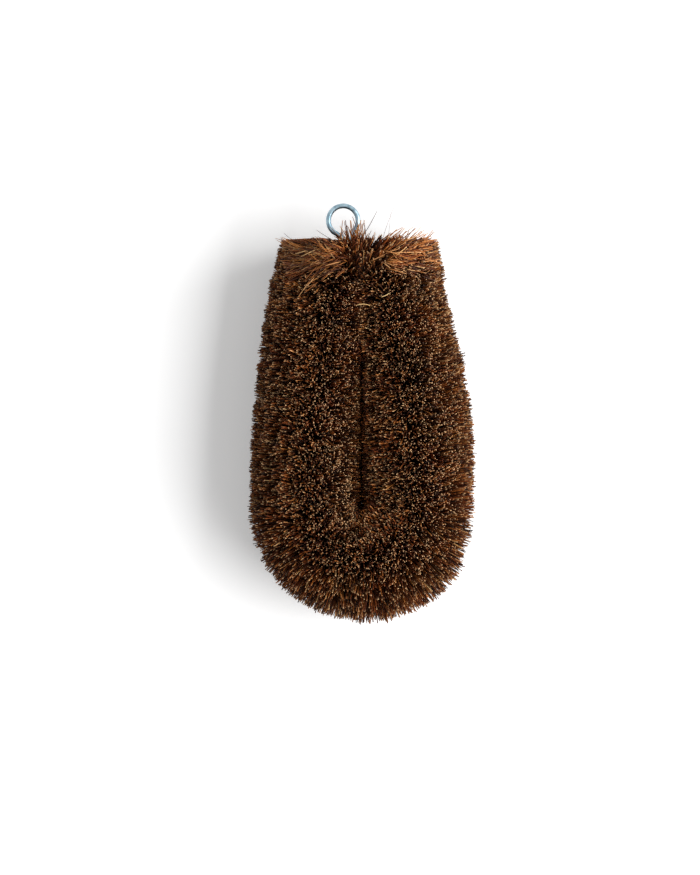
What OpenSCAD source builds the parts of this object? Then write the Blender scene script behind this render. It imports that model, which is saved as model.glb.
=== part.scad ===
// Palm brush. Palm fibres are clamped between the two strands of a twisted wire,
// trimmed to a round roll and bent to a U. The ends of the U are tied together,
// and the fold of the wire stands out there as a hanging eye.
// Lengths are in millimetres. The brush lies flat: +Y runs to the eye, +X across, +Z up.
// The origin is on the surface that it rests on, under the middle of the whole brush.

/* [Fibre roll] */
// Diameter that the fibres are trimmed to
roll_d = 49; // [45:0.5:53]
// Depth of the flat that the resting brush has along its underside
rest_flat = 0.6; // [0.2:0.1:1.5]
// Radius of the pit that the fibres leave in the middle of the bend
pit_r = 1.2; // [0.6:0.1:2]

/* [U shape] */
// Radius of the core line round the bend
bend_r = 20.5; // [17:0.5:24]
// Distance from the centre of the bend to the trimmed ends of the legs
leg_run = 105.6; // [96:0.2:120]
// How far the left leg has closed in where it is trimmed
left_inset = 12; // [6:0.5:14]
// How far the right leg has closed in where it is trimmed
right_inset = 16; // [6:0.5:17]

/* [Wire] */
// Diameter of the galvanised wire
wire_d = 2; // [1.6:0.1:2.2]
// Thickness of the fibres squeezed between the two strands
squeezed_fibre = 0.6; // [0.3:0.1:1]
// Length of core in which the strands make about one turn
twist_pitch = 11.5; // [9:0.5:15]
// Room between the twisted strands and the fibres round them
core_clearance = 0.3; // [0.2:0.05:0.5]

/* [Hanging eye] */
// Clear diameter inside the eye
eye_inner_d = 9.8; // [7:0.2:13]
// Distance from the neck to the centre of the eye
eye_neck = 10.4; // [9.6:0.2:13]
// Angle that the eye leans to the left
eye_lean = 14; // [0:1:20]

/* [Tied end] */
// Distance from the seam between the legs to the neck of the eye
neck_left = 4.8; // [3:0.2:6]
// Depth of the neck below the trimmed ends
neck_sink = 1.1; // [0.4:0.1:3]
// Depth below the trimmed ends at which the wires leave the legs
tie_depth = 18; // [16:0.5:24]
// Turns that the two wire tails make round the neck
tail_turns = 1; // [0.75:0.05:1.2]
// Gap left between neighbouring windings of the tie
tail_gap = 0.2; // [0.1:0.05:0.4]
// Room that the fibres leave round the neck and the windings on it
tie_room = 1.3; // [1:0.1:2]
// Room that the fibres leave round the tails where they bend across to the neck
tail_room = 2.2; // [1.8:0.1:3]

/* [Hidden] */
wire_r = wire_d / 2;
roll_r = roll_d / 2;
strand_r = (wire_d + squeezed_fibre) / 2;
core_r = strand_r + wire_r;
bore_r = core_r + core_clearance;
core_z = roll_r - rest_flat;

// Turns of the wire, which is also the number of tufts, in a leg and in the bend
leg_turns = round((leg_run - tie_depth) / twist_pitch);
bend_turns = round(PI * bend_r / twist_pitch);
core_turns = 2 * leg_turns + bend_turns;

// The eye is one round arc with a reverse arc on each side, down to the parallel neck
eye_r = eye_inner_d / 2 + wire_r;
turn_r = (eye_neck ^ 2 + strand_r ^ 2 - eye_r ^ 2) / (2 * (eye_r - strand_r));
turn_angle = atan2(eye_neck, strand_r + turn_r);
eye_way = [-sin(eye_lean), cos(eye_lean), 0];
neck_y = leg_run - neck_sink;
neck = [-neck_left, neck_y, 0];
eye_top = neck_y + eye_neck * cos(eye_lean) + eye_r + wire_r;

// The whole brush is centred on the origin from the bend's outside to the top of the eye
bend_y = (bend_r + roll_r - eye_top) / 2;

// The two tails lie side by side round the neck, and climb it at twice their spacing
tail_spacing = wire_d + tail_gap;
tie_r = core_r + tail_gap + wire_r;
tie_low = tail_gap + wire_r + (2 * tail_turns + 1) * tail_spacing;

// Facets of the wire and of the round shapes
strand_sides = 8;
rings_per_turn = 8;
tie_rings = 16;
eye_sides = 16;
eye_steps = 36;
turn_steps = 6;
eye_step = (180 + 2 * turn_angle) / eye_steps;
round_fn = 96;
leg_arc_fn = 20 * round_fn;
small_turn = 0.01;

leg_tufts = [for (i = [1:leg_turns]) i];
bend_tufts = [for (i = [1:bend_turns]) i];

fibre_colour = "#5a3820";
end_colour = "#7a5030";
wire_colour = "#a9b8bf";
up = [0, 0, 1];

function unit(v) = v / norm(v);

// Smooth curve from p, which it leaves along a, to q, which it reaches along b
function curve_point(p, q, a, b, w) =
    let (h = norm(q - p))
    (2 * w ^ 3 - 3 * w ^ 2 + 1) * p + (w ^ 3 - 2 * w ^ 2 + w) * h * a
    + (3 * w ^ 2 - 2 * w ^ 3) * q + (w ^ 3 - w ^ 2) * h * b;
function curve_way(p, q, a, b, w) =
    let (h = norm(q - p))
    unit((6 * w ^ 2 - 6 * w) * (p - q) + (3 * w ^ 2 - 4 * w + 1) * h * a + (3 * w ^ 2 - 2 * w) * h * b);

// Each leg's core line is a wide arc that leaves the bend straight up and closes in. Side is -1 or 1.
function leg_inset(side) = side < 0 ? left_inset : right_inset;
function leg_arc_r(side) = (leg_run ^ 2 + leg_inset(side) ^ 2) / (2 * leg_inset(side));
function exit_angle(side) = asin((leg_run - tie_depth) / leg_arc_r(side));
function leg_point(side, a) =
    [side * (bend_r - leg_arc_r(side) * (1 - cos(a))), leg_arc_r(side) * sin(a), 0];
function leg_way(side, a) = [-side * sin(a), cos(a), 0];
function leg_exit(side) = leg_point(side, exit_angle(side));
function leg_exit_way(side) = leg_way(side, exit_angle(side));

// Core line down the left leg, round the bend and up the right leg, with u in turns of the wire
function core_point(u) =
    u < leg_turns ? leg_point(-1, exit_angle(-1) * (1 - u / leg_turns))
    : u > leg_turns + bend_turns ? leg_point(1, exit_angle(1) * (u - leg_turns - bend_turns) / leg_turns)
    : bend_r * [cos(180 + bend_angle(u)), sin(180 + bend_angle(u)), 0];
function core_way(u) =
    u < leg_turns ? -leg_way(-1, exit_angle(-1) * (1 - u / leg_turns))
    : u > leg_turns + bend_turns ? leg_way(1, exit_angle(1) * (u - leg_turns - bend_turns) / leg_turns)
    : [-sin(180 + bend_angle(u)), cos(180 + bend_angle(u)), 0];
function bend_angle(u) = 180 * (u - leg_turns) / bend_turns;

// Neck: the strands come down from the eye and swing over to the left leg's core
neck_length = norm(leg_exit(-1) - neck);
function neck_point(d) = curve_point(neck, leg_exit(-1), -eye_way, -leg_exit_way(-1), d / neck_length);
function neck_way(d) = curve_way(neck, leg_exit(-1), -eye_way, -leg_exit_way(-1), d / neck_length);

// Tie: the tails of the right leg's wires come over the neck and wind round it, t in turns
function tie_depth_at(t) = tie_low - 2 * tail_spacing * t - tail_spacing / 2;
function tie_out(t) =
    cos(90 - 360 * t) * cross(neck_way(tie_depth_at(t)), up) + sin(90 - 360 * t) * up;
function tie_point(t) = neck_point(tie_depth_at(t)) + tie_r * tie_out(t);
function tie_way(t) = unit(tie_point(t + small_turn) - tie_point(t - small_turn));
function tail_point(w) = curve_point(leg_exit(1), tie_point(0), leg_exit_way(1), tie_way(0), w);
function tail_way(w) = curve_way(leg_exit(1), tie_point(0), leg_exit_way(1), tie_way(0), w);

// A station is a point between the two strands, the two directions across it,
// how far the strands have turned there, and how far each lies from the point
function flat_station(point, way, turned, off) =
    let (across = unit(cross(way, up)))
    [point, across, cross(across, way), turned, off];
stations = concat(
    [for (i = [0:tie_rings - 1])
        let (w = i / tie_rings)
        flat_station(neck_point(w * neck_length), neck_way(w * neck_length), -360 * (1 - w ^ 2), strand_r)],
    [for (i = [0:core_turns * rings_per_turn])
        let (u = i / rings_per_turn)
        flat_station(core_point(u), core_way(u), 360 * u, strand_r)],
    [for (i = [1:tie_rings])
        let (w = i / tie_rings)
        flat_station(tail_point(w), tail_way(w), 360 * w * (2 - w),
            strand_r + (tail_spacing / 2 - strand_r) * w)],
    [for (i = [1:tie_rings])
        let (t = tail_turns * i / tie_rings)
        [tie_point(t), cross(tie_way(t), tie_out(t)), tie_out(t), 0, tail_spacing / 2]]
);

// Places all that is drawn about the bend's centre and the core line where the brush lies
module as_it_lies() {
    translate([0, bend_y, core_z])
        children();
}

module mirrored_to(side) {
    mirror([side < 0 ? 1 : 0, 0, 0])
        children();
}

// Round wire swept along a list of points, with its two ends square to first_way and last_way
module swept_wire(points, first_way, last_way, sides) {
    last = len(points) - 1;
    ways = [for (i = [0:last])
        i == 0 ? first_way : i == last ? last_way : unit(points[i + 1] - points[i - 1])];
    across = [
        for (i = 0, n = up; i <= last; i = i + 1, n = i > last ? n : unit(n - (n * ways[i]) * ways[i]))
            n
    ];
    rings = [for (i = [0:last], k = [0:sides - 1])
        let (a = 360 * k / sides)
        points[i] + wire_r * (cos(a) * across[i] + sin(a) * cross(ways[i], across[i]))];
    walls = [for (i = [0:last - 1], k = [0:sides - 1])
        let (a = i * sides + k, b = i * sides + (k + 1) % sides)
        each [[a, a + sides, b], [b, a + sides, b + sides]]];
    first_cap = [for (k = [0:sides - 1]) k];
    last_cap = [for (k = [sides - 1:-1:0]) last * sides + k];
    polyhedron(rings, concat(walls, [first_cap, last_cap]), convexity = 20);
}

// One strand of the wire from the eye's neck through the whole U to the end of its tail
module core_strand(half_turn) {
    color(wire_colour)
        as_it_lies()
            swept_wire([for (s = stations) s[0] + s[4] * (cos(s[3] + half_turn) * s[1]
                + sin(s[3] + half_turn) * s[2])], -eye_way, tie_way(tail_turns), strand_sides);
}

function arc_points(centre, r, from, to, steps) =
    [for (i = [0:steps]) let (a = from + (to - from) * i / steps) centre + r * [cos(a), sin(a), 0]];

// Fold of the wire: from the neck out round the eye and back down beside itself
module hanging_eye() {
    turn_x = strand_r + turn_r;
    line = concat(
        arc_points([turn_x, 0, 0], turn_r, 180, 180 - turn_angle, turn_steps),
        arc_points([0, eye_neck, 0], eye_r, eye_step - turn_angle, 180 + turn_angle - eye_step,
            eye_steps - 2),
        arc_points([-turn_x, 0, 0], turn_r, turn_angle, 0, turn_steps)
    );
    color(wire_colour)
        as_it_lies()
            translate(neck)
                rotate([0, 0, eye_lean])
                    swept_wire(line, [0, 1, 0], [0, -1, 0], eye_sides);
}

// Section of the fibre roll about its core: round, pressed flat where it rests, cut off at inner_x
module roll_section(inner_x) {
    intersection() {
        circle(r = roll_r, $fn = round_fn);
        translate([inner_x, -core_z])
            square([roll_r - inner_x, core_z + roll_r]);
    }
}

// The same section with the bore that the wire core runs in
module bored_section(inner_x) {
    difference() {
        roll_section(inner_x);
        circle(r = bore_r, $fn = round_fn / 3);
    }
}

// Section carried along a leg between two angles of its arc, up to the seam and the trimmed end
module leg_roll(side, from, to) {
    mirrored_to(side)
        intersection() {
            translate([bend_r - leg_arc_r(side), 0, 0])
                rotate_extrude(angle = to - from, start = from, $fn = leg_arc_fn)
                    translate([leg_arc_r(side), 0])
                        children();
            translate([0, -roll_r, -roll_r])
                cube([bend_r + roll_r, leg_run + roll_r, roll_d]);
        }
}

// Fibres that one turn of the wire holds in a leg, counted from the bend
module leg_tuft(side, i) {
    step = exit_angle(side) / leg_turns;
    color(fibre_colour)
        as_it_lies()
            leg_roll(side, (i - 1) * step, i * step)
                bored_section(-roll_r);
}

// Fibres that one turn of the wire holds in the bend, counted from the left leg
module bend_tuft(i) {
    step = 180 / bend_turns;
    color(fibre_colour)
        as_it_lies()
            rotate_extrude(angle = step, start = 180 + (i - 1) * step, $fn = round_fn)
                translate([bend_r, 0])
                    bored_section(max(pit_r - bend_r, -roll_r));
}

// Round channel from p to q that also runs past both ends
module channel(p, q, r) {
    d = q - p;
    translate(p)
        rotate([0, acos(d[2] / norm(d)), atan2(d[1], d[0])])
            translate([0, 0, -core_r])
                cylinder(h = norm(d) + 2 * core_r, r = r, $fn = round_fn / 2);
}

// Room that the fibres leave round the wires and their tie at the trimmed ends
module tie_channels() {
    foot = neck_point(tie_low + wire_r);
    channel(leg_exit(-1), foot, core_r + tie_room);
    channel(foot, neck, tie_r + wire_r + tie_room);
    channel(leg_exit(1), tie_point(0), core_r + tail_room);
}

// Last fibres of a leg, round the tie and trimmed straight across
module end_tuft(side) {
    color(end_colour)
        as_it_lies()
            difference() {
                leg_roll(side, exit_angle(side), asin(leg_run / (leg_arc_r(side) - roll_r - wire_r)))
                    roll_section(-roll_r);
                tie_channels();
            }
}

hanging_eye();
core_strand(0);  // core_strand_a
core_strand(180);  // core_strand_b
for (i = leg_tufts) leg_tuft(-1, i);
for (i = bend_tufts) bend_tuft(i);
for (i = leg_tufts) leg_tuft(1, i);
end_tuft(-1);  // left_end_tuft
end_tuft(1);  // right_end_tuft
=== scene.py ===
"""Palm brush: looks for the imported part, in metres and in the part's own frame.
The brush lies flat with its hanging eye to +Y. Lengths with no unit in their name are millimetres times mm."""

import math
import random

import bpy
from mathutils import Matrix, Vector


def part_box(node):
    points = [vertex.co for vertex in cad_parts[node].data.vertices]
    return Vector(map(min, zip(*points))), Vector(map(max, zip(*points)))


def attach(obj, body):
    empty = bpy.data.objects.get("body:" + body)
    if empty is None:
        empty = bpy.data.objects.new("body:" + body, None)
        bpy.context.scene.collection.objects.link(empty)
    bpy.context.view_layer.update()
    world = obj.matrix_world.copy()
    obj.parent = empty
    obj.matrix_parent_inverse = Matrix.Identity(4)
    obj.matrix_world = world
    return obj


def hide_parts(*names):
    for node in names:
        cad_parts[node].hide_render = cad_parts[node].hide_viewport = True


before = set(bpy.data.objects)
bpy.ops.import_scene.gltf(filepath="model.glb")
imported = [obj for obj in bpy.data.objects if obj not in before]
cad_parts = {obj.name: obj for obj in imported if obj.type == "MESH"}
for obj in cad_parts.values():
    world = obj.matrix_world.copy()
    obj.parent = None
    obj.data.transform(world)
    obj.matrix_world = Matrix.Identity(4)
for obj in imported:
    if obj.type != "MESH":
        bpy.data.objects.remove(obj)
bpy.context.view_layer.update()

# Wire: one length of 2 mm galvanised steel, folded double. The fold is bent to a round hanging eye, the two halves
# are twisted round each other with the fibres between them, and the whole is bent to a U. The tails of the right
# leg come over the neck of the eye and are wound round it, which ties the U shut.
mm = 0.001
wire_r = 1 * mm
strand_r = 1.3 * mm  # from the core line to the middle of a strand
roll_r = 24.5 * mm
bend_r = 20.5 * mm
leg_run = 105.6 * mm  # from the centre of the bend to the trimmed ends
tie_depth = 18 * mm  # below the trimmed ends, where the wires leave the legs
inset = {-1: 12 * mm, 1: 16 * mm}  # how far each leg has closed in at its trimmed end
leg_tufts, bend_tufts = 8, 6  # one turn of the wire each
bend_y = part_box("bend_tuft_3")[0].y + bend_r + roll_r
core_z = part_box("bend_tuft_3")[1].z - roll_r
trim_y = bend_y + leg_run
up = Vector((0, 0, 1))
arc_r = {side: (leg_run ** 2 + inset[side] ** 2) / (2 * inset[side]) for side in inset}
exit_angle = {side: math.asin((leg_run - tie_depth) / arc_r[side]) for side in inset}


def leg_point(side, a):
    """Point of a leg's core line, where its wide arc has turned by a. Side is -1 for the left leg, 1 for the right."""
    return Vector((side * (bend_r - arc_r[side] * (1 - math.cos(a))), bend_y + arc_r[side] * math.sin(a), core_z))


def leg_way(side, a):
    """Direction of a leg's core line there, towards the tied end."""
    return Vector((-side * math.sin(a), math.cos(a), 0))


def core_at(u):
    """Point and direction of the core line, u turns of the wire from the tied end of the left leg."""
    if u < leg_tufts:
        a = exit_angle[-1] * (1 - u / leg_tufts)
        return leg_point(-1, a), -leg_way(-1, a)
    if u > leg_tufts + bend_tufts:
        a = exit_angle[1] * (u - leg_tufts - bend_tufts) / leg_tufts
        return leg_point(1, a), leg_way(1, a)
    a = math.pi * (1 + (u - leg_tufts) / bend_tufts)
    point = Vector((bend_r * math.cos(a), bend_y + bend_r * math.sin(a), core_z))
    return point, Vector((-math.sin(a), math.cos(a), 0))


def smooth_run(p, q, a, b, w):
    """Point and direction at w of the smooth curve that leaves p along a and reaches q along b."""
    h = (q - p).length
    point = (2 * w ** 3 - 3 * w ** 2 + 1) * p + (w ** 3 - 2 * w ** 2 + w) * h * a
    point += (3 * w ** 2 - 2 * w ** 3) * q + (w ** 3 - w ** 2) * h * b
    way = (6 * w ** 2 - 6 * w) * (p - q) + (3 * w ** 2 - 4 * w + 1) * h * a + (3 * w ** 2 - 2 * w) * h * b
    return point, way.normalized()


eye_lean = math.radians(14)
eye_way = Vector((-math.sin(eye_lean), math.cos(eye_lean), 0))
neck_left, neck_sink = 4.8 * mm, 1.1 * mm  # of the middle line, and below the trimmed ends
neck = Vector((-neck_left, trim_y - neck_sink, core_z))
left_exit, right_exit = leg_point(-1, exit_angle[-1]), leg_point(1, exit_angle[1])


def neck_at(w):
    """Point and direction of the neck, from the eye (w = 0) down to the left leg's core (w = 1)."""
    return smooth_run(neck, left_exit, -eye_way, -leg_way(-1, exit_angle[-1]), w)


tail_spacing = 2.2 * mm  # the two tails lie side by side round the neck
tie_r = 3.5 * mm  # from the middle of the neck to the middle of a tail
tie_low = 7.8 * mm  # from the eye down to the first turn
tail_turns = 1


def tie_at(t):
    """Point of the tails after t turns round the neck, and the direction out from the neck there."""
    middle, way = neck_at((tie_low - 2 * tail_spacing * t - tail_spacing / 2) / (left_exit - neck).length)
    a = math.radians(90 - 360 * t)
    out = math.cos(a) * way.cross(up) + math.sin(a) * up
    return middle + tie_r * out, out


def tie_way(t):
    """Direction in which the tails run there."""
    return (tie_at(t + 0.01)[0] - tie_at(t - 0.01)[0]).normalized()


def tail_at(w):
    """Point and direction of the tails, from the right leg's core (w = 0) over to the neck (w = 1)."""
    return smooth_run(right_exit, tie_at(0)[0], leg_way(1, exit_angle[1]), tie_way(0), w)


def strand_points(half_turn):
    """Middle of one strand from the neck of the eye through the U to the end of its tail."""
    steps, steps_a_turn = 32, 16
    stations = []  # point of the core, across and above it, how far the strand has turned there and how far out it lies
    for i in range(steps):
        w = i / steps
        point, way = neck_at(w)
        stations.append((point, way.cross(up).normalized(), up, -2 * math.pi * (1 - w * w), strand_r))
    for i in range(steps_a_turn * (2 * leg_tufts + bend_tufts) + 1):
        u = i / steps_a_turn
        point, way = core_at(u)
        stations.append((point, way.cross(up), up, 2 * math.pi * u, strand_r))
    for i in range(1, steps + 1):
        w = i / steps
        point, way = tail_at(w)
        across = way.cross(up).normalized()
        stations.append((point, across, across.cross(way), 2 * math.pi * w * (2 - w),
                         strand_r + (tail_spacing / 2 - strand_r) * w))
    for i in range(1, steps + 1):
        t = tail_turns * i / steps
        point, out = tie_at(t)
        stations.append((point, tie_way(t).cross(out), out, 0, tail_spacing / 2))
    return [point + off * (math.cos(turned + half_turn) * across + math.sin(turned + half_turn) * above)
            for point, across, above, turned, off in stations]


def eye_points():
    """Middle of the fold: out round the eye from one side of the neck and back to the other."""
    eye_neck, eye_r = 10.4 * mm, 5.9 * mm  # from the neck to the middle of the eye, and to the middle of its wire
    steps, eye_steps = 16, 96
    turn_r = (eye_neck ** 2 + strand_r ** 2 - eye_r ** 2) / (2 * (eye_r - strand_r))
    turn_x = strand_r + turn_r
    turn = math.atan2(eye_neck, turn_x)
    flat = [(turn_x + turn_r * math.cos(a), turn_r * math.sin(a))
            for a in (math.pi - turn * i / steps for i in range(steps))]
    flat += [(eye_r * math.cos(a), eye_neck + eye_r * math.sin(a))
             for a in (-turn + (math.pi + 2 * turn) * i / eye_steps for i in range(eye_steps + 1))]
    flat += [(-turn_x + turn_r * math.cos(a), turn_r * math.sin(a))
             for a in (turn * i / steps for i in range(steps - 1, -1, -1))]
    side = eye_way.cross(up)
    return [neck + x * side + y * eye_way for x, y in flat]


def swept(name, runs, sides):
    """One mesh piece of closed round strands. Each run is its points, its radius at each, and its shade."""
    corners, faces, shades, lengths = [], [], [], []
    root_along = 0.75  # each strand shows the outer quarter of a fibre
    on_map = []  # where each corner of each face lies on the map, on which every strand has a cell of its own
    cells = math.ceil(math.sqrt(len(runs)))
    rim = [2 * math.pi * k / sides for k in range(sides)]
    round_end = [(0.5 + 0.25 * math.cos(a), 0.5 + 0.4 * math.sin(a)) for a in rim]
    for number, (points, radii, shade) in enumerate(runs):
        first, last = len(corners), len(points) - 1
        cell_x, cell_y = number % cells, number // cells
        across = up
        for i, (point, radius) in enumerate(zip(points, radii)):
            way = (points[min(i + 1, last)] - points[max(i - 1, 0)]).normalized()
            across = across - across.dot(way) * way if abs(across.dot(way)) < 0.99 else way.orthogonal()
            across.normalize()
            over = way.cross(across)
            corners += [point + radius * (math.cos(a) * across + math.sin(a) * over) for a in rim]
            shades += [shade] * sides
            lengths += [root_along + (1 - root_along) * i / last] * sides
            if i:
                ring = first + (i - 1) * sides
                faces += [(ring + k, ring + (k + 1) % sides, ring + sides + (k + 1) % sides, ring + sides + k)
                          for k in range(sides)]
                on_map += [(cell_x + 0.1 + 0.8 * (k + right) / sides, cell_y + 0.12 + 0.76 * (i - 1 + above) / last)
                           for k in range(sides) for right, above in ((0, 0), (1, 0), (1, 1), (0, 1))]
        faces.append(tuple(range(first + sides - 1, first - 1, -1)))
        on_map += [(cell_x + x, cell_y + 0.1 * y) for x, y in reversed(round_end)]
        faces.append(tuple(range(first + last * sides, first + (last + 1) * sides)))
        on_map += [(cell_x + x, cell_y + 0.9 + 0.1 * y) for x, y in round_end]
    mesh = bpy.data.meshes.new(name)
    mesh.from_pydata(corners, [], faces)
    mesh.attributes.new("tone", "FLOAT", "POINT").data.foreach_set("value", shades)
    mesh.attributes.new("along", "FLOAT", "POINT").data.foreach_set("value", lengths)
    if cells > 1:
        mesh.uv_layers.new(name="OFBake").data.foreach_set("uv", [c / cells for spot in on_map for c in spot])
    mesh.shade_smooth()
    piece = bpy.data.objects.new(name, mesh)
    bpy.context.scene.collection.objects.link(piece)
    return piece


def linear(code):
    """An sRGB hex colour as the linear colour that a shader takes."""
    parts = [int(code[i:i + 2], 16) / 255 for i in (1, 3, 5)]
    return (*[c / 12.92 if c <= 0.04045 else ((c + 0.055) / 1.055) ** 2.4 for c in parts], 1)


def add(tree, kind, inputs=(), **settings):
    """Adds a node with its settings. Each input is linked to a node or socket, or set to a value."""
    node = tree.nodes.new(kind)
    for name, value in settings.items():
        setattr(node, name, value)
    for key, value in dict(inputs).items():
        shown = [s for s in node.inputs if s.enabled]
        socket = shown[key] if isinstance(key, int) else next(s for s in shown if s.name == key)
        if isinstance(value, bpy.types.Node):
            value = next(s for s in value.outputs if s.enabled)
        if isinstance(value, bpy.types.NodeSocket):
            tree.links.new(value, socket)
        else:
            socket.default_value = value
    return node


# Galvanised steel, hot-dipped in zinc: a pale bluish skin with a soft, uneven shine, duller and greyer in blotches
# where it has oxidised.
galvanised = bpy.data.materials.new("galvanised_steel_wire")
galvanised.use_nodes = True
skin = galvanised.node_tree
shader = skin.nodes["Principled BSDF"]
shader.inputs["Metallic"].default_value = 1
place = add(skin, "ShaderNodeTexCoord").outputs["Object"]
blotch = 1.6 * mm
bloom = add(skin, "ShaderNodeTexNoise", {"Vector": place, "Scale": 1 / blotch, "Detail": 3.0})
zinc = add(skin, "ShaderNodeValToRGB", {"Fac": bloom.outputs["Fac"]})
zinc.color_ramp.elements[0].position, zinc.color_ramp.elements[0].color = 0.35, linear("#768f9c")
zinc.color_ramp.elements[1].position, zinc.color_ramp.elements[1].color = 0.7, linear("#a8bfca")
skin.links.new(zinc.outputs["Color"], shader.inputs["Base Color"])
dull = add(skin, "ShaderNodeMapRange", {"Value": bloom.outputs["Fac"], "To Min": 0.28, "To Max": 0.48})
skin.links.new(dull.outputs["Result"], shader.inputs["Roughness"])
uneven = add(skin, "ShaderNodeBump", {"Height": bloom.outputs["Fac"], "Strength": 0.25, "Distance": 0.05 * mm})
skin.links.new(uneven.outputs["Normal"], shader.inputs["Normal"])

for name, node, points, sides in (("eye_wire", "hanging_eye", eye_points(), 24),
                                  ("twisted_wire_a", "core_strand_a", strand_points(0), 12),
                                  ("twisted_wire_b", "core_strand_b", strand_points(math.pi), 12)):
    wire = swept(name, [(points, [wire_r] * len(points), 0.5)], sides)
    wire.data.materials.append(galvanised)
    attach(wire, "root")
    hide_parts(node)

# Fibre material: bark fibre of the windmill palm, red-brown, about half a millimetre thick and slightly waxy. Each
# fibre has its own shade, a few are straw-pale, the sheared tip is paler (partly its lighter inside, partly a painted
# highlight), and the fibre is darker down in the pile, which is painted shade.
palm_fibre = bpy.data.materials.new("palm_bark_fibre")
palm_fibre.use_nodes = True
bark = palm_fibre.node_tree
shader = bark.nodes["Principled BSDF"]
tone = add(bark, "ShaderNodeAttribute", attribute_name="tone")
along = add(bark, "ShaderNodeAttribute", attribute_name="along")
shades = add(bark, "ShaderNodeValToRGB", {"Fac": tone.outputs["Fac"]})
ramp = shades.color_ramp.elements
ramp[0].position, ramp[0].color = 0.0, linear("#190d07")
ramp[1].position, ramp[1].color = 1.0, linear("#e6c083")
for at, code in ((0.4, "#49230e"), (0.75, "#7d421b"), (0.93, "#ab6e35"), (0.985, "#c99562")):
    ramp.new(at).color = linear(code)
place = add(bark, "ShaderNodeTexCoord").outputs["Object"]
batch = 14 * mm  # fibres of one batch lie together, redder or greyer than the next
batches = add(bark, "ShaderNodeTexNoise", {"Vector": place, "Scale": 1 / batch, "Detail": 1.0})
redness = add(bark, "ShaderNodeMapRange", {"Value": batches.outputs["Fac"], "From Min": 0.4, "From Max": 0.65})
tint = add(bark, "ShaderNodeMix", {"Factor": redness, "A": (0.96, 1.0, 1.05, 1), "B": (1.15, 0.98, 0.82, 1)},
           data_type="RGBA")
shaded = add(bark, "ShaderNodeVectorMath", {0: shades, 1: tint}, operation="MULTIPLY")
painted_pile_shade = add(bark, "ShaderNodeMapRange", {"Value": along.outputs["Fac"], "From Min": 0.45, "From Max": 0.92,
                                          "To Min": 0.26, "To Max": 1.04})  # painted shade: darker down in the pile, towards the wire
pile_shaded = add(bark, "ShaderNodeVectorMath", {0: shaded, "Scale": painted_pile_shade}, operation="SCALE")
spun = add(bark, "ShaderNodeMath", {0: tone.outputs["Fac"], 1: 17.0}, operation="MULTIPLY")
luck = add(bark, "ShaderNodeMath", {0: spun}, operation="FRACT")  # a second chance value from the first
# Painted highlight, partly real: the sheared ends of some fibres are drawn pale, partly their lighter inside and partly
# the light the ends catch
bright_tip_chance = add(bark, "ShaderNodeMapRange", {"Value": luck, "From Min": 0.45, "From Max": 1.02})
pale_tip_and_highlight = add(bark, "ShaderNodeMapRange", {"Value": along.outputs["Fac"], "From Min": 0.958, "From Max": 0.996})
pale_tip_and_highlight = add(bark, "ShaderNodeMath", {0: pale_tip_and_highlight, 1: bright_tip_chance}, operation="MULTIPLY")
tip_and_highlight_mixed = add(bark, "ShaderNodeMix", {"Factor": pale_tip_and_highlight, "A": pile_shaded, "B": linear("#e9bc8a")}, data_type="RGBA")
bark.links.new(tip_and_highlight_mixed.outputs[2], shader.inputs["Base Color"])
shader.inputs["Roughness"].default_value = 0.6
shader.inputs["Specular IOR Level"].default_value = 0.25

# Fibre tuft: all the fibres that one turn of the wire clamps. They leave the wire like spokes, in two spiral
# rows, are sheared to one round roll, and bend aside where the other leg or the middle of the bend is in the way.
tuft = bpy.data.node_groups.new("fibre_tuft", "GeometryNodeTree")
tuft.interface.new_socket(name="Geometry", in_out="OUTPUT", socket_type="NodeSocketGeometry")
sizes = {}
for name, kind, value in (
    ("Core line", "Geometry", None),
    ("Fibres", "Int", 2850),
    ("Joints", "Int", 5),  # points along a fibre
    ("Roll radius", "Float", roll_r),
    ("Fibre radius", "Float", 0.23 * mm),
    ("Row contrast", "Float", 0.4),  # how far the fibres crowd towards the middle of their spiral row
    ("Lean", "Float", 0.16),  # along the wire, as a share of the length
    ("Shear error", "Float", 7 * mm),  # the most that a fibre is cut too short
    ("Hollows", "Float", 4 * mm),  # how deep the thin places in the pile are
    ("Seam gap", "Float", 0.4 * mm),
    ("Seam give", "Float", 2.2 * mm),  # how far tips cross the seam
    ("Clump size", "Float", 2.6 * mm),
    ("Clump pull", "Float", 0.17),
    ("Drift", "Float", 7 * mm),
    ("Kink", "Float", 3 * mm),
    ("Exit end", "Float", 0.0),  # the end of the line where the wire leaves the roll: 0 or 1
    ("Trim skew", "Float", 0.0),  # how much more upright the outer tips of an end tuft stand
    ("Trim line", "Float", 1.0),  # no tip passes this Y
    ("Trim slack", "Float", 0.3 * mm),
    ("Flare", "Float", 0.0),
    ("Comb", "Float", 0.0),  # angle
    ("Map columns", "Float", 128.0),
    ("Seed", "Int", 1),
    ("Material", "Material", None),
):
    socket = tuft.interface.new_socket(name=name, in_out="INPUT", socket_type="NodeSocket" + kind)
    sizes[name] = socket.identifier
    if value is not None:
        socket.default_value = value
given = tuft.nodes.new("NodeGroupInput").outputs
MATH, VECTOR, CHANCE, NOISE = "ShaderNodeMath", "ShaderNodeVectorMath", "FunctionNodeRandomValue", "ShaderNodeTexNoise"

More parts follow.
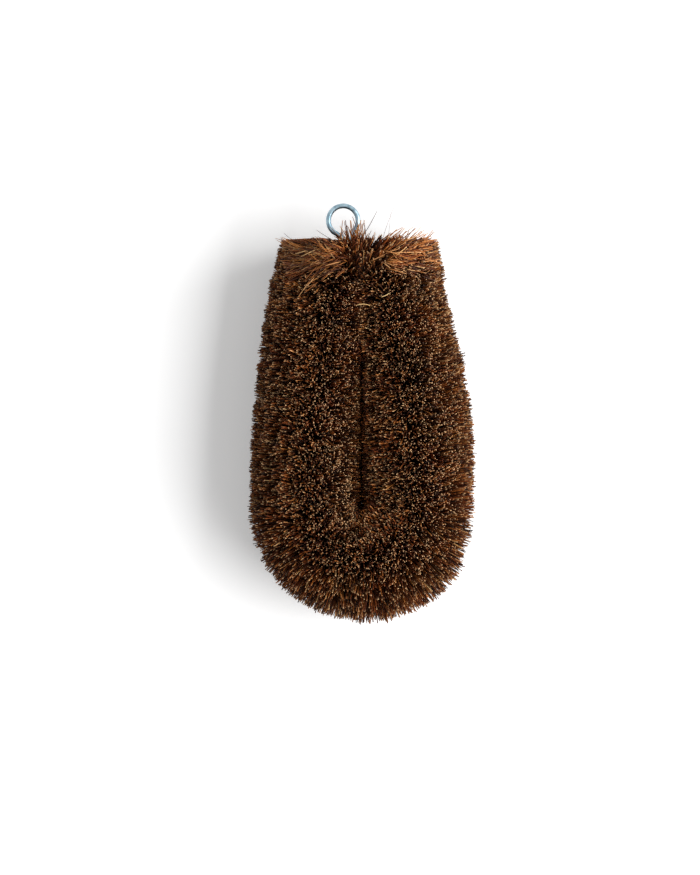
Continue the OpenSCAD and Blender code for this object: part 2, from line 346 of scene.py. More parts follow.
# Which fibre and where along it a point is, and the fibre's place in its spiral row
index = add(tuft, "GeometryNodeInputIndex")
count = add(tuft, MATH, {0: index, 1: given["Joints"]}, operation="DIVIDE")
fibre = add(tuft, MATH, {0: count}, operation="FLOOR")
joint = add(tuft, MATH, {0: index, 1: given["Joints"]}, operation="MODULO")
last_joint = add(tuft, MATH, {0: given["Joints"], 1: 1.0}, operation="SUBTRACT")
along = add(tuft, MATH, {0: joint, 1: last_joint}, operation="DIVIDE")
middle = add(tuft, MATH, {0: fibre, 1: 0.5}, operation="ADD")
part = add(tuft, MATH, {0: middle, 1: given["Fibres"]}, operation="DIVIDE")
golden_share = 0.618034  # neighbours along the wire lie far apart across the row
golden = add(tuft, MATH, {0: fibre, 1: golden_share}, operation="MULTIPLY")
shared = add(tuft, MATH, {0: golden}, operation="FRACT")
spread = add(tuft, MATH, {0: shared, 1: 2.0, 2: -1.0}, operation="MULTIPLY_ADD")
half_wave = add(tuft, MATH, {0: spread, 1: math.pi}, operation="MULTIPLY")
wave = add(tuft, MATH, {0: half_wave}, operation="SINE")
bunch = add(tuft, MATH, {0: given["Row contrast"], 1: -0.5}, operation="MULTIPLY")
in_row = add(tuft, MATH, {0: wave, 1: bunch, 2: half_wave}, operation="MULTIPLY_ADD")
row = add(tuft, MATH, {0: fibre, 1: 2.0}, operation="MODULO")
row_angle = add(tuft, MATH, {0: row, 1: math.pi}, operation="MULTIPLY")
turned = add(tuft, MATH, {0: part, 1: 2 * math.pi, 2: row_angle}, operation="MULTIPLY_ADD")
angle = add(tuft, MATH, {0: in_row, 1: 0.5, 2: turned}, operation="MULTIPLY_ADD")

# Chance, the same in each run
dice = []
for k in (100, 200, 300):
    throw = add(tuft, MATH, {0: given["Seed"], 1: float(k)}, operation="ADD")
    dice.append(add(tuft, CHANCE, {"Min": (-1, -1, -1), "Max": (1, 1, 1), "ID": fibre, "Seed": throw},
                    data_type="FLOAT_VECTOR"))
lay = add(tuft, "ShaderNodeSeparateXYZ", {0: dice[0]}).outputs
squeeze = add(tuft, "ShaderNodeSeparateXYZ", {0: dice[1]}).outputs
throw = add(tuft, MATH, {0: given["Seed"], 1: 400.0}, operation="ADD")
shade = add(tuft, CHANCE, {"Min": 0.0, "Max": 1.0, "ID": fibre, "Seed": throw}, data_type="FLOAT")

# Where the fibre leaves the wire, and the middle of the roll where its tip is sheared
line = add(tuft, "GeometryNodeMeshToCurve", {"Mesh": given["Core line"]})
wire_there = add(tuft, "GeometryNodeInputNamedAttribute", {"Name": "wire"}, data_type="FLOAT_VECTOR")
room_there = add(tuft, "GeometryNodeInputNamedAttribute", {"Name": "room"}, data_type="FLOAT")
clamped = add(tuft, "GeometryNodeSampleCurve", {"Curves": line, "Value": wire_there, "Factor": part},
              data_type="FLOAT_VECTOR", use_all_curves=True)
outwardness = add(tuft, MATH, {0: angle}, operation="COSINE")
upright_trim = 0.32  # fibres that stand up take this share of the skew, and those at the seam take it back
trimmed = add(tuft, MATH, {0: outwardness, 1: upright_trim}, operation="ADD")
skewed = add(tuft, MATH, {0: trimmed, 1: given["Trim skew"]}, operation="MULTIPLY")
kept = add(tuft, MATH, {0: 1.0, 1: skewed}, operation="SUBTRACT")
from_exit = add(tuft, MATH, {0: part, 1: given["Exit end"]}, operation="SUBTRACT")
tip_part = add(tuft, MATH, {0: from_exit, 1: kept, 2: given["Exit end"]}, operation="MULTIPLY_ADD")
sheared = add(tuft, "GeometryNodeSampleCurve", {"Curves": line, "Value": room_there, "Factor": tip_part},
              data_type="FLOAT", use_all_curves=True)
room, core, way = (sheared.outputs[name] for name in ("Value", "Position", "Tangent"))

# The fibre's own direction, and its tip on the sheared roll
rising = add(tuft, MATH, {0: angle}, operation="SINE")  # near the tie the fibres are combed out sideways
comb_chance = add(tuft, MATH, {0: squeeze["Z"], 1: -0.5, 2: -0.75}, operation="MULTIPLY_ADD")  # 0.25 to 1.25 of it
comb = add(tuft, MATH, {0: rising, 1: given["Comb"]}, operation="MULTIPLY")
angle = add(tuft, MATH, {0: comb, 1: comb_chance, 2: angle}, operation="MULTIPLY_ADD")
sideways = add(tuft, VECTOR, {0: way, 1: (0, 0, 1)}, operation="CROSS_PRODUCT")
outward = add(tuft, VECTOR, {0: sideways}, operation="NORMALIZE")
spoke = add(tuft, "ShaderNodeVectorRotate", {"Vector": outward, "Center": (0, 0, 0), "Axis": way, "Angle": angle},
            rotation_type="AXIS_ANGLE", invert=True)
slant = add(tuft, MATH, {0: lay["X"], 1: given["Lean"]}, operation="MULTIPLY")
slanted = add(tuft, VECTOR, {0: way, "Scale": slant}, operation="SCALE")
own_way = add(tuft, VECTOR, {0: spoke, 1: slanted}, operation="ADD")
miss = add(tuft, MATH, {0: lay["Y"]}, operation="ABSOLUTE")
miss = add(tuft, MATH, {0: miss, 1: 3.5}, operation="POWER")  # most are nearly right, and few are much too short
short = add(tuft, MATH, {0: miss, 1: given["Shear error"]}, operation="MULTIPLY")
full = add(tuft, VECTOR, {0: own_way, "Scale": given["Roll radius"]}, operation="SCALE")
full = add(tuft, VECTOR, {0: core, 1: full}, operation="ADD")
hollow_width = 5 * mm
hollows = add(tuft, NOISE, {"Vector": full, "Scale": 1 / hollow_width, "Detail": 2.0})
hollow = add(tuft, "ShaderNodeMapRange", {"Value": hollows.outputs["Fac"], "From Min": 0.47, "From Max": 0.66,
                                          "To Max": given["Hollows"]})
upright = add(tuft, MATH, {0: rising}, operation="ABSOLUTE")
steep = add(tuft, MATH, {0: upright, 1: 0.7, 2: 0.3}, operation="MULTIPLY_ADD")  # the flanks are sheared more evenly
short = add(tuft, MATH, {0: hollow, 1: steep, 2: short}, operation="MULTIPLY_ADD")
reach = add(tuft, MATH, {0: given["Roll radius"], 1: short}, operation="SUBTRACT")
stretch = add(tuft, VECTOR, {0: own_way, "Scale": reach}, operation="SCALE")
free_tip = add(tuft, VECTOR, {0: core, 1: stretch}, operation="ADD")

# At the seam and in the middle of the bend there is no room, so the tip is pushed back and up or down
inward = add(tuft, VECTOR, {0: stretch, 1: outward}, operation="DOT_PRODUCT")
looseness = add(tuft, MATH, {0: squeeze["X"], 1: squeeze["X"]}, operation="MULTIPLY")
height = add(tuft, "ShaderNodeSeparateXYZ", {0: stretch}).outputs["Z"]
side = add(tuft, MATH, {0: height}, operation="SIGN")
gap = add(tuft, MATH, {0: given["Seam gap"], 1: side}, operation="MULTIPLY")  # the undersides mesh, the tops part
loose = add(tuft, MATH, {0: looseness, 1: given["Seam give"], 2: gap}, operation="MULTIPLY_ADD")
wall = add(tuft, MATH, {0: room, 1: loose}, operation="SUBTRACT")
past = add(tuft, MATH, {0: inward, 1: wall}, operation="ADD")
past_wall = add(tuft, MATH, {0: past, 1: 0.0}, operation="MINIMUM")
over = add(tuft, MATH, {0: past_wall, 1: -1.0}, operation="MULTIPLY")
pushed_back = add(tuft, VECTOR, {0: outward, "Scale": over}, operation="SCALE")
roll_square = add(tuft, MATH, {0: given["Roll radius"], 1: given["Roll radius"]}, operation="MULTIPLY")
wall_square = add(tuft, MATH, {0: wall, 1: wall}, operation="MULTIPLY")
rim_square = add(tuft, MATH, {0: roll_square, 1: wall_square}, operation="SUBTRACT")
rim = add(tuft, MATH, {0: rim_square}, operation="SQRT")
rim_part = add(tuft, MATH, {0: squeeze["Y"], 1: 0.08, 2: 0.92}, operation="MULTIPLY_ADD")  # not all reach the top
rim_height = add(tuft, MATH, {0: rim, 1: rim_part}, operation="MULTIPLY")
level = add(tuft, MATH, {0: height}, operation="ABSOLUTE")
headroom = add(tuft, MATH, {0: rim_height, 1: level}, operation="SUBTRACT")
headroom = add(tuft, MATH, {0: headroom, 1: 0.0}, operation="MAXIMUM")
rise = add(tuft, MATH, {0: over, 1: 0.9}, operation="MULTIPLY")  # the rest of the length is lost in the bow
rise = add(tuft, MATH, {0: rise, 1: headroom}, operation="MINIMUM")
rise = add(tuft, MATH, {0: rise, 1: side}, operation="MULTIPLY")
raised = add(tuft, "ShaderNodeCombineXYZ", {"Z": rise})
tip = add(tuft, VECTOR, {0: free_tip, 1: pushed_back}, operation="ADD")
tip = add(tuft, VECTOR, {0: tip, 1: raised}, operation="ADD")

# Tips gather in small locks, and whole patches of them lean the same way, but all stay as long as they were sheared
before = add(tuft, VECTOR, {0: tip, 1: core}, operation="DISTANCE")
in_cells = add(tuft, VECTOR, {0: tip, 1: given["Clump size"]}, operation="DIVIDE")
cell = add(tuft, "ShaderNodeTexVoronoi", {"Vector": in_cells, "Scale": 1.0})
lock = add(tuft, VECTOR, {0: cell.outputs["Position"], 1: given["Clump size"]}, operation="MULTIPLY")
tip = add(tuft, "ShaderNodeMix", {"Factor": given["Clump pull"], "A": tip, "B": lock}, data_type="VECTOR")
patch_width = 12 * mm
patch = add(tuft, NOISE, {"Vector": tip, "Scale": 1 / patch_width, "Detail": 1.0})
drift = add(tuft, VECTOR, {0: patch.outputs["Color"], 1: (0.5, 0.5, 0.5)}, operation="SUBTRACT")
drift = add(tuft, VECTOR, {0: drift, "Scale": given["Drift"]}, operation="SCALE")
tip = add(tuft, VECTOR, {0: tip, 1: drift}, operation="ADD")
from_core = add(tuft, VECTOR, {0: tip, 1: core}, operation="SUBTRACT")
from_core = add(tuft, VECTOR, {0: from_core}, operation="NORMALIZE")
from_core = add(tuft, VECTOR, {0: from_core, "Scale": before}, operation="SCALE")
tip = add(tuft, VECTOR, {0: core, 1: from_core}, operation="ADD")

# The ends of the U: fibres fan out past the trim line by the flare, or are cut off there. All rest on the table
near_trim = add(tuft, MATH, {0: from_exit}, operation="ABSOLUTE")
fan = add(tuft, MATH, {0: near_trim, 1: given["Flare"]}, operation="MULTIPLY")
fan_chance = add(tuft, MATH, {0: squeeze["Z"]}, operation="ABSOLUTE")
fan = add(tuft, MATH, {0: fan, 1: fan_chance}, operation="MULTIPLY")
at = add(tuft, "ShaderNodeSeparateXYZ", {0: tip}).outputs
fanned = add(tuft, MATH, {0: at["Y"], 1: fan}, operation="ADD")
slack = add(tuft, MATH, {0: fan_chance, 1: given["Trim slack"]}, operation="MULTIPLY")
cut_line = add(tuft, MATH, {0: given["Trim line"], 1: slack}, operation="SUBTRACT")
cut_y = add(tuft, MATH, {0: fanned, 1: cut_line}, operation="MINIMUM")
tip_height = 0.4 * mm  # no tip is lower
flattened = add(tuft, MATH, {0: at["Z"], 1: tip_height}, operation="MAXIMUM")
tip = add(tuft, "ShaderNodeCombineXYZ", {"X": at["X"], "Y": cut_y, "Z": flattened})

# The fibre is a soft curve from the wire, along its own direction, to its tip, with slight kinks
root_spread, most_bow = 0.5 * mm, 0.12
nudge = add(tuft, VECTOR, {0: dice[2], "Scale": root_spread}, operation="SCALE")
root = add(tuft, VECTOR, {0: clamped.outputs["Value"], 1: nudge}, operation="ADD")
bow = add(tuft, VECTOR, {0: dice[2], "Scale": most_bow}, operation="SCALE")
bowed = add(tuft, VECTOR, {0: own_way, 1: bow}, operation="ADD")
half = add(tuft, MATH, {0: reach, 1: 0.5}, operation="MULTIPLY")
to_belly = add(tuft, VECTOR, {0: bowed, "Scale": half}, operation="SCALE")
belly = add(tuft, VECTOR, {0: root, 1: to_belly}, operation="ADD")
back = add(tuft, MATH, {0: 1.0, 1: along}, operation="SUBTRACT")
root_share = add(tuft, MATH, {0: back, 1: back}, operation="MULTIPLY")
tip_share = add(tuft, MATH, {0: along, 1: along}, operation="MULTIPLY")
both = add(tuft, MATH, {0: root_share, 1: tip_share}, operation="ADD")
belly_share = add(tuft, MATH, {0: 1.0, 1: both}, operation="SUBTRACT")
path = add(tuft, VECTOR, {0: root, "Scale": root_share}, operation="SCALE")
path = add(tuft, VECTOR, {0: belly, 1: belly_share, 2: path}, operation="MULTIPLY_ADD")
path = add(tuft, VECTOR, {0: tip, 1: tip_share, 2: path}, operation="MULTIPLY_ADD")
apart = add(tuft, MATH, {0: fibre, 1: 3.7}, operation="MULTIPLY")  # each fibre has kinks of its own
stretch_along = add(tuft, MATH, {0: along, 1: 2.2}, operation="MULTIPLY")  # about two to a fibre
kink_at = add(tuft, "ShaderNodeCombineXYZ", {"X": apart, "Y": stretch_along, "Z": given["Seed"]})
kinks = add(tuft, NOISE, {"Vector": kink_at, "Scale": 1.0, "Detail": 0.0})
kink = add(tuft, VECTOR, {0: kinks.outputs["Color"], 1: (0.5, 0.5, 0.5)}, operation="SUBTRACT")
kink_size = add(tuft, MATH, {0: along, 1: given["Kink"]}, operation="MULTIPLY")
kink = add(tuft, VECTOR, {0: kink, "Scale": kink_size}, operation="SCALE")
path = add(tuft, VECTOR, {0: path, 1: kink}, operation="ADD")
at = add(tuft, "ShaderNodeSeparateXYZ", {0: path}).outputs
lifted = add(tuft, MATH, {0: at["Z"], 1: 0.75 * tip_height}, operation="MAXIMUM")
path = add(tuft, "ShaderNodeCombineXYZ", {"X": at["X"], "Y": at["Y"], "Z": lifted})

# Drawn as three-sided strands that carry their shade and how far along the fibre they are. Near the seam the fibres
# are drawn darker, painted shade for the crease, and show no pale cut ends, which are hidden where the tips press
# together
inset_there = add(tuft, MATH, {0: inward, 1: over}, operation="ADD")
from_wall = add(tuft, MATH, {0: inset_there, 1: room}, operation="ADD")
painted_seam_shade = add(tuft, "ShaderNodeMapRange", {"Value": from_wall, "From Min": 0.5 * mm, "From Max": 1.9 * mm,
                                           "To Min": 0.85, "To Max": 1.0})
painted_flank_shade = add(tuft, MATH, {0: upright, 1: 0.014, 2: 0.986}, operation="MULTIPLY_ADD")  # painted shade: the cut ends on the flanks are drawn browner than those on the crown
shown_along = add(tuft, MATH, {0: along, 1: painted_seam_shade}, operation="MULTIPLY")
shown_along = add(tuft, MATH, {0: shown_along, 1: painted_flank_shade}, operation="MULTIPLY")
total = add(tuft, MATH, {0: given["Fibres"], 1: given["Joints"]}, operation="MULTIPLY")
dots = add(tuft, "GeometryNodePoints", {"Count": total, "Position": path})
thick = add(tuft, MATH, {0: lay["Z"], 1: 0.3, 2: 1.0}, operation="MULTIPLY_ADD")  # 0.7 to 1.3 of the usual
taper = add(tuft, "ShaderNodeMapRange", {"Value": along, "From Max": 0.4, "To Min": 0.5})  # pressed thin at the wire
thick = add(tuft, MATH, {0: thick, 1: taper}, operation="MULTIPLY")
thick = add(tuft, MATH, {0: thick, 1: given["Fibre radius"]}, operation="MULTIPLY")
for name, value in (("tone", shade), ("along", shown_along), ("thick", thick), ("strand", fibre), ("far_along", along)):
    dots = add(tuft, "GeometryNodeStoreNamedAttribute", {"Geometry": dots, "Name": name, "Value": value},
               data_type="FLOAT", domain="POINT")
strands = add(tuft, "GeometryNodePointsToCurves", {"Points": dots, "Curve Group ID": fibre, "Weight": along})
strands = add(tuft, "GeometryNodeSetCurveRadius", {"Curve": strands, "Radius": 1.0})
section = add(tuft, "GeometryNodeCurvePrimitiveCircle", {"Resolution": 3, "Radius": 1.0})
thick_there = add(tuft, "GeometryNodeInputNamedAttribute", {"Name": "thick"}, data_type="FLOAT")
solid = add(tuft, "GeometryNodeCurveToMesh", {"Curve": strands, "Profile Curve": section, "Scale": thick_there,
                                              "Fill Caps": True})
solid = add(tuft, "GeometryNodeSetShadeSmooth", {"Geometry": solid, "Shade Smooth": True})

# Its map, on which the fibre's colours can be painted: each fibre has an upright cell of its own, with its sides in
# the middle and its two cut ends below and above
strand = add(tuft, "GeometryNodeInputNamedAttribute", {"Name": "strand"}, data_type="FLOAT")
far_along = add(tuft, "GeometryNodeInputNamedAttribute", {"Name": "far_along"}, data_type="FLOAT")
column = add(tuft, MATH, {0: strand, 1: given["Map columns"]}, operation="MODULO")
shelf = add(tuft, MATH, {0: strand, 1: given["Map columns"]}, operation="DIVIDE")
shelf = add(tuft, MATH, {0: shelf}, operation="FLOOR")
shelves = add(tuft, MATH, {0: given["Fibres"], 1: given["Map columns"]}, operation="DIVIDE")
shelves = add(tuft, MATH, {0: shelves}, operation="CEIL")
corner = add(tuft, "GeometryNodeInputIndex")
corner = add(tuft, MATH, {0: corner, 1: 3.0}, operation="MODULO")
across = add(tuft, MATH, {0: corner, 1: 0.65, 2: 0.2}, operation="MULTIPLY_ADD")
across = add(tuft, MATH, {0: across}, operation="FRACT")  # 0.2, 0.85 and 0.5 for the three corners
map_x = add(tuft, MATH, {0: column, 1: across}, operation="ADD")
map_x = add(tuft, MATH, {0: map_x, 1: given["Map columns"]}, operation="DIVIDE")
peak = add(tuft, MATH, {0: corner, 1: 1.0}, operation="GREATER_THAN")
end_y = add(tuft, MATH, {0: peak, 1: 0.07, 2: 0.01}, operation="MULTIPLY_ADD")
end_y = add(tuft, MATH, {0: far_along, 1: 0.91, 2: end_y}, operation="MULTIPLY_ADD")
side_y = add(tuft, MATH, {0: far_along, 1: 0.8, 2: 0.1}, operation="MULTIPLY_ADD")
map_x, shelf, end_y, side_y = (
    add(tuft, "GeometryNodeFieldOnDomain", {"Value": value}, data_type="FLOAT", domain="POINT")
    for value in (map_x, shelf, end_y, side_y))
edges = add(tuft, "GeometryNodeInputMeshFaceNeighbors").outputs["Vertex Count"]
is_side = add(tuft, MATH, {0: edges, 1: 3.5}, operation="GREATER_THAN")
is_side = add(tuft, "GeometryNodeFieldOnDomain", {"Value": is_side}, data_type="FLOAT", domain="FACE")
map_y = add(tuft, "ShaderNodeMix", {"Factor": is_side, "A": end_y, "B": side_y}, data_type="FLOAT")
map_y = add(tuft, MATH, {0: map_y, 1: shelf}, operation="ADD")
map_y = add(tuft, MATH, {0: map_y, 1: shelves}, operation="DIVIDE")
on_map = add(tuft, "ShaderNodeCombineXYZ", {"X": map_x, "Y": map_y})
solid = add(tuft, "GeometryNodeStoreNamedAttribute", {"Geometry": solid, "Name": "OFBake", "Value": on_map},
            data_type="FLOAT2", domain="CORNER")
solid = add(tuft, "GeometryNodeRealizeInstances", {"Geometry": solid})
solid = add(tuft, "GeometryNodeSetMaterial", {"Geometry": solid, "Material": given["Material"]})
finished = tuft.nodes.new("NodeGroupOutput")
tuft.links.new(solid.outputs[0], finished.inputs["Geometry"])


def fibre_tuft(name, line, **own_sizes):
    """Grows one tuft from its line: the middle of the roll, the wire there, and the room towards the seam."""
    core_line = bpy.data.meshes.new(name)
    core_line.from_pydata([middle for middle, wire, room in line], [(i, i + 1) for i in range(len(line) - 1)], [])
    wires = core_line.attributes.new("wire", "FLOAT_VECTOR", "POINT")
    wires.data.foreach_set("vector", [c for _, wire, _ in line for c in wire])
    rooms = core_line.attributes.new("room", "FLOAT", "POINT")
    rooms.data.foreach_set("value", [room for _, _, room in line])
    piece = bpy.data.objects.new(name + "_fibres", core_line)
    bpy.context.scene.collection.objects.link(piece)
    grow = piece.modifiers.new("fibres", "NODES")
    grow.node_group = tuft
    grow[sizes["Material"]] = palm_fibre
    for size, value in own_sizes.items():
        grow[sizes[size.replace("_", " ")]] = value
    bpy.context.view_layer.update()
    grown = bpy.data.meshes.new_from_object(piece.evaluated_get(bpy.context.evaluated_depsgraph_get()))
    piece.modifiers.clear()
    piece.data = grown
    bpy.data.meshes.remove(core_line)
    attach(piece, "root")
    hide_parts(name)
    return piece


steps = 12
pit_r = 1.2 * mm
meshed = 3 * mm  # how far the legs' fibres mesh near the tie
mesh_start, mesh_run = 22 * mm, 16 * mm  # where that begins, and over what length


def roll_line(first, last):
    """The middle of the roll between two turns of the wire, with the wire and the room towards the seam."""
    line = []
    for i in range(steps + 1):
        u = first + (last - first) * i / steps
        point, way = core_at(u)
        in_leg = u < leg_tufts or u > leg_tufts + bend_tufts
        mixed = meshed * min(max((point.y - mesh_start) / mesh_run, 0), 1)
        line.append((point, point, abs(point.x) + mixed if in_leg else bend_r - pit_r))
    return line


for i in range(1, leg_tufts + 1):
    near_tie = max(i - 6, 0)  # the last two tufts are combed more and more
    comb = math.radians(12) * near_tie
    longer = {2: 0.9, 3: 1.2, 4: 1.2, 5: 0.9}.get(i, 0) * mm - 0.7 * mm * near_tie  # the right leg swells half way
    fibre_tuft(f"left_leg_tuft_{i}", roll_line(leg_tufts - i, leg_tufts - i + 1), Seed=i, Comb=comb)
    first = leg_tufts + bend_tufts + i - 1
    fibre_tuft(f"right_leg_tuft_{i}", roll_line(first, first + 1), Seed=10 + i, Comb=comb, Roll_radius=roll_r + longer)
for i in range(1, bend_tufts + 1):
    longer = {4: 1.9 * mm, 5: 2.6 * mm}.get(i, 0.4 * mm)  # the longest lock is at the lower right
    fibre_tuft(f"bend_tuft_{i}", roll_line(leg_tufts + i - 1, leg_tufts + i), Seed=20 + i, Roll_radius=roll_r + longer)

trim_angle = {-1: math.radians(13.2), 1: math.radians(17.6)}  # how far each leg's arc has turned at the trimmed end
tail_share = 0.85  # of the tails' way over to the neck that holds fibres
left_line, right_line = [], []
for i in range(steps + 1):
    w = i / steps
    a = exit_angle[-1] + (1 - w) * (trim_angle[-1] - exit_angle[-1])
    left_line.append((leg_point(-1, a), neck_at(w)[0], abs(leg_point(-1, a).x) + meshed))
    a = exit_angle[1] + w * (trim_angle[1] - exit_angle[1])
    right_line.append((leg_point(1, a), tail_at(tail_share * w)[0], abs(leg_point(1, a).x) + meshed))
fibre_tuft("left_end_tuft", left_line, Seed=31, Fibres=4300, Exit_end=1.0, Trim_skew=0.27, Roll_radius=roll_r - 1 * mm,
           Trim_line=trim_y + 0.6 * mm, Trim_slack=1.9 * mm, Comb=math.radians(42))
fibre_tuft("right_end_tuft", right_line, Seed=32, Fibres=4300, Exit_end=0.0, Trim_skew=0.34, Flare=2.5 * mm,
           Trim_line=trim_y + 1.6 * mm, Trim_slack=2.6 * mm, Comb=math.radians(42))

# Loose and standing fibres: the few that the shears missed. A tuft stands up between the tie and the eye, some stick
# out past the trimmed ends, and two pale bits lie across the brush. All lengths and places here are millimetres, as
# the two functions take them.
last = 7  # points of a loose fibre, less one


def stray(root, tip, bow, radius, shade):
    """Path of one loose fibre, bowed sideways to its run, with its radius and shade."""
    root, tip = Vector(root) * mm, Vector(tip) * mm
    aside = (tip - root).cross(up).normalized() * bow * mm
    points = [root.lerp(tip, i / last) + aside * math.sin(math.pi * i / last) for i in range(last + 1)]
    return points, [radius * mm * (1 - 0.5 * (i / last) ** 2) for i in range(last + 1)], shade


loose = [
    stray((-4, 64, 27), (6.2, 79.8, 30), 0.6, 0.17, 0.2),
    stray((-6, 66, 26), (-18.2, 72.4, 29), -0.5, 0.13, 0.3),
    stray((-10, 58, 27), (-30.8, 70.8, 30), -1.2, 0.15, 0.25),
    stray((-4, 66, 29), (-12.4, 73.6, 28), -0.6, 0.22, 0.8),
    stray((-1, 67, 27), (-3.6, 77.6, 29), 0.4, 0.22, 0.6),
    stray((6, 58, 27), (13.4, 82.6, 29), -0.8, 0.09, 0.5),
    stray((7, 58, 27), (11.6, 79, 30), 1.0, 0.08, 0.5),
    stray((8, 56, 28), (18.8, 71.6, 32), 0.9, 0.3, 0.75),
    stray((9, 55, 28), (21.2, 73, 30), -0.8, 0.25, 0.6),
    stray((9, 54, 28), (28.4, 72, 32), 1.1, 0.3, 0.8),
    stray((9.5, 53, 27), (31, 67.4, 30), -0.9, 0.28, 0.85),
    stray((9, 54, 27), (25.4, 74.4, 30), 0.6, 0.1, 0.4),
    stray((8, 55, 27), (30.4, 73.6, 28), 1.4, 0.1, 0.4),
    stray((-1.9, 41.5, 48.2), (3.3, 41.3, 48.7), -0.5, 0.2, 1.0),
    stray((7.6, 44.7, 48.2), (10.9, 46.2, 48.7), 0.2, 0.2, 1.0),
]
chance = random.Random(7)
for _ in range(130):  # the tuft that stands over the neck of the eye
    root = (-1.8 + chance.gauss(0, 2.2), 59 + chance.uniform(-2, 5), 32 + chance.uniform(-1, 9))
    lean = chance.gauss(-0.06, 0.36)
    rise = chance.uniform(6, 15.5) * math.cos(1.3 * lean)
    tip = (root[0] + rise * math.sin(lean), min(root[1] + rise * math.cos(lean), 75.6), root[2] + chance.uniform(0, 3))
    loose.append(stray(root, tip, chance.uniform(-0.7, 0.7), chance.uniform(0.2, 0.3), chance.uniform(0.45, 0.97)))
for _ in range(95):  # the ragged fringe of the right end
    turn = math.radians(chance.uniform(6, 50))
    root = (chance.uniform(3, 17), chance.uniform(58, 64), chance.uniform(32, 45))
    run = chance.uniform(8, 18)
    tip = (min(root[0] + run * math.cos(turn), 31), min(root[1] + run * math.sin(turn), 72.6),
           root[2] + chance.uniform(-5, 1))
    loose.append(stray(root, tip, chance.uniform(-1.2, 1.2), chance.uniform(0.2, 0.34), chance.uniform(0.82, 0.985)))
for _ in range(110):  # the softer fringe of the left end
    turn = math.radians(chance.triangular(2, 60, 14))
    root = (-chance.uniform(3, 25), chance.uniform(60, 65.5), chance.uniform(28, 44))
    run = chance.uniform(5, 12)
    trim = 69.4 - chance.uniform(0, 1.6)
    tip = (max(root[0] - run * math.cos(turn), -34.5), min(root[1] + run * math.sin(turn), trim),
           root[2] + chance.uniform(-4, 1))
    loose.append(stray(root, tip, chance.uniform(-0.8, 0.8), chance.uniform(0.14, 0.24), chance.uniform(0.72, 0.975)))


def combed(side, x, y, turn, run, depth, radius, shade):
    """Path of a fibre that comes up out of the pile and lies on the roll, turned from the brush's width by an angle."""
    sunk = (3, 1.2, 0.3)  # its first points lie deeper
    steepest = 0.7  # way down over the far side of the roll
    points = []
    for i in range(last + 1):
        here_x = (side * x + side * run * i / last * math.cos(turn)) * mm
        here_y = min((y + run * i / last * math.sin(turn)) * mm, trim_y + 0.3 * mm)
        middle = leg_point(side, math.asin((here_y - bend_y) / arc_r[side]))
        crown = core_z + math.sqrt(max(roll_r ** 2 - (here_x - middle.x) ** 2, 0)) + (0.5 - depth) * mm
        if i < len(sunk):
            crown -= sunk[i] * mm
        else:
            crown = max(crown, points[-1].z - steepest * run / last * mm)
        points.append(Vector((here_x, here_y, crown)))
    return points, [radius * mm * (1 - 0.4 * (i / last) ** 2) for i in range(last + 1)], shade


for _ in range(490):  # both ends are combed outwards from the tie
    side = chance.choice((-1, -1, -1, 1, 1))
    fan = math.radians(chance.triangular(-42 if side < 0 else -28, 38, 8))
    near, far = chance.uniform(4, 11), chance.uniform(1, 19)
    run = min(chance.uniform(3.8, 9), 31.5 - near - far + chance.uniform(-1, 1))
    if run > 2.5:
        x, y = near + far * math.cos(fan), 60 + chance.uniform(-4, 4) + far * math.sin(fan)
        loose.append(combed(side, x, min(y, 66), fan + chance.gauss(0, 0.28), run, chance.uniform(0, 3.4),
                            chance.uniform(0.14, 0.24), 0.992 - 0.78 * chance.random() ** 1.6))
strays = swept("loose_fibres", loose, 6)
strays.data.materials.append(palm_fibre)
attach(strays, "root")

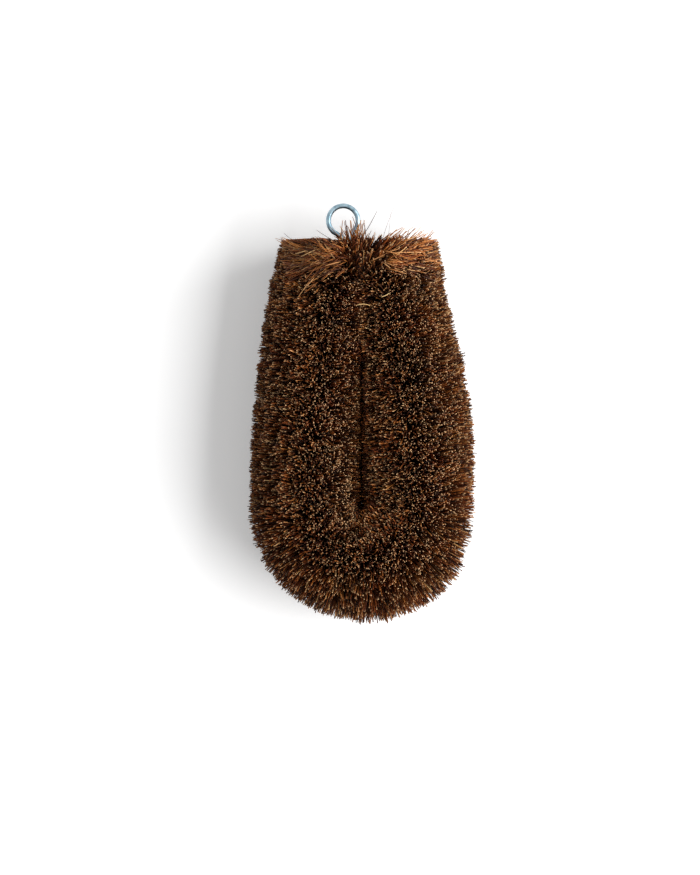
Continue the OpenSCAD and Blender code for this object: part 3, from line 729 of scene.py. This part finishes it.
# Table: a plain matt sweep that shows as white where no shadow falls on it.
floor_mesh = bpy.data.meshes.new("table")
floor_mesh.from_pydata([(-3, -3, 0), (3, -3, 0), (3, 3, 0), (-3, 3, 0)], [], [(0, 1, 2, 3)])
table = bpy.data.objects.new("table", floor_mesh)
bpy.context.scene.collection.objects.link(table)
matt = bpy.data.materials.new("matt_white_board")
matt.use_nodes = True
board = matt.node_tree
board.nodes.clear()
rays = add(board, "ShaderNodeLightPath").outputs
seen = add(board, MATH, {0: rays["Is Camera Ray"], 1: rays["Is Glossy Ray"]}, operation="MAXIMUM")
seen = add(board, MATH, {0: seen, 1: rays["Is Transmission Ray"]}, operation="MAXIMUM")
glow_strength = add(board, MATH, {0: seen, 1: 0.25}, operation="MULTIPLY")  # seen, but it lights nothing
paint = add(board, "ShaderNodeBsdfDiffuse", {"Color": (0.96, 0.96, 0.96, 1)})
glow = add(board, "ShaderNodeEmission", {"Color": (1, 1, 1, 1), "Strength": glow_strength})
together = add(board, "ShaderNodeAddShader", {0: paint, 1: glow})
out = add(board, "ShaderNodeOutputMaterial", {"Surface": together})
floor_mesh.materials.append(matt)

# Light: one large soft box from the right, high up, and an even white room.
lamp = bpy.data.lights.new("soft_box", "AREA")
lamp.shape = "RECTANGLE"
lamp.size, lamp.size_y = 3.4, 2.2
lamp.energy = 130
soft_box = bpy.data.objects.new("soft_box", lamp)
bpy.context.scene.collection.objects.link(soft_box)
soft_box.location = (2.07, -0.3, 1.73)
soft_box.rotation_euler = (Vector((0, 0, 0.02)) - soft_box.location).to_track_quat("-Z", "Y").to_euler()
room_light = bpy.data.worlds.new("white_room")
room_light.use_nodes = True
air = room_light.node_tree
rays = add(air, "ShaderNodeLightPath").outputs
seen = add(air, MATH, {0: rays["Is Camera Ray"], 1: rays["Is Glossy Ray"]}, operation="MAXIMUM")
seen = add(air, MATH, {0: seen, 1: rays["Is Transmission Ray"]}, operation="MAXIMUM")
strength = add(air, "ShaderNodeMapRange", {"Value": seen, "To Min": 0.36, "To Max": 1.0})
background = air.nodes["Background"]
background.inputs["Color"].default_value = (1, 1, 1, 1)
air.links.new(strength.outputs["Result"], background.inputs["Strength"])
bpy.context.scene.world = room_light

# Camera: straight above, far enough for a long lens, with the frame 280 mm wide and 350 mm high.
distance, frame_height = 1.2, 0.35
view = bpy.data.cameras.new("above")
camera = bpy.data.objects.new("above", view)
bpy.context.scene.collection.objects.link(camera)
camera.location = (-4.6 * mm, -10.4 * mm, core_z + distance)
view.sensor_width = 36
view.lens = 36 * distance / frame_height
view.clip_end = 20
bpy.context.scene.camera = camera
bpy.context.scene.view_settings.view_transform = "Standard"
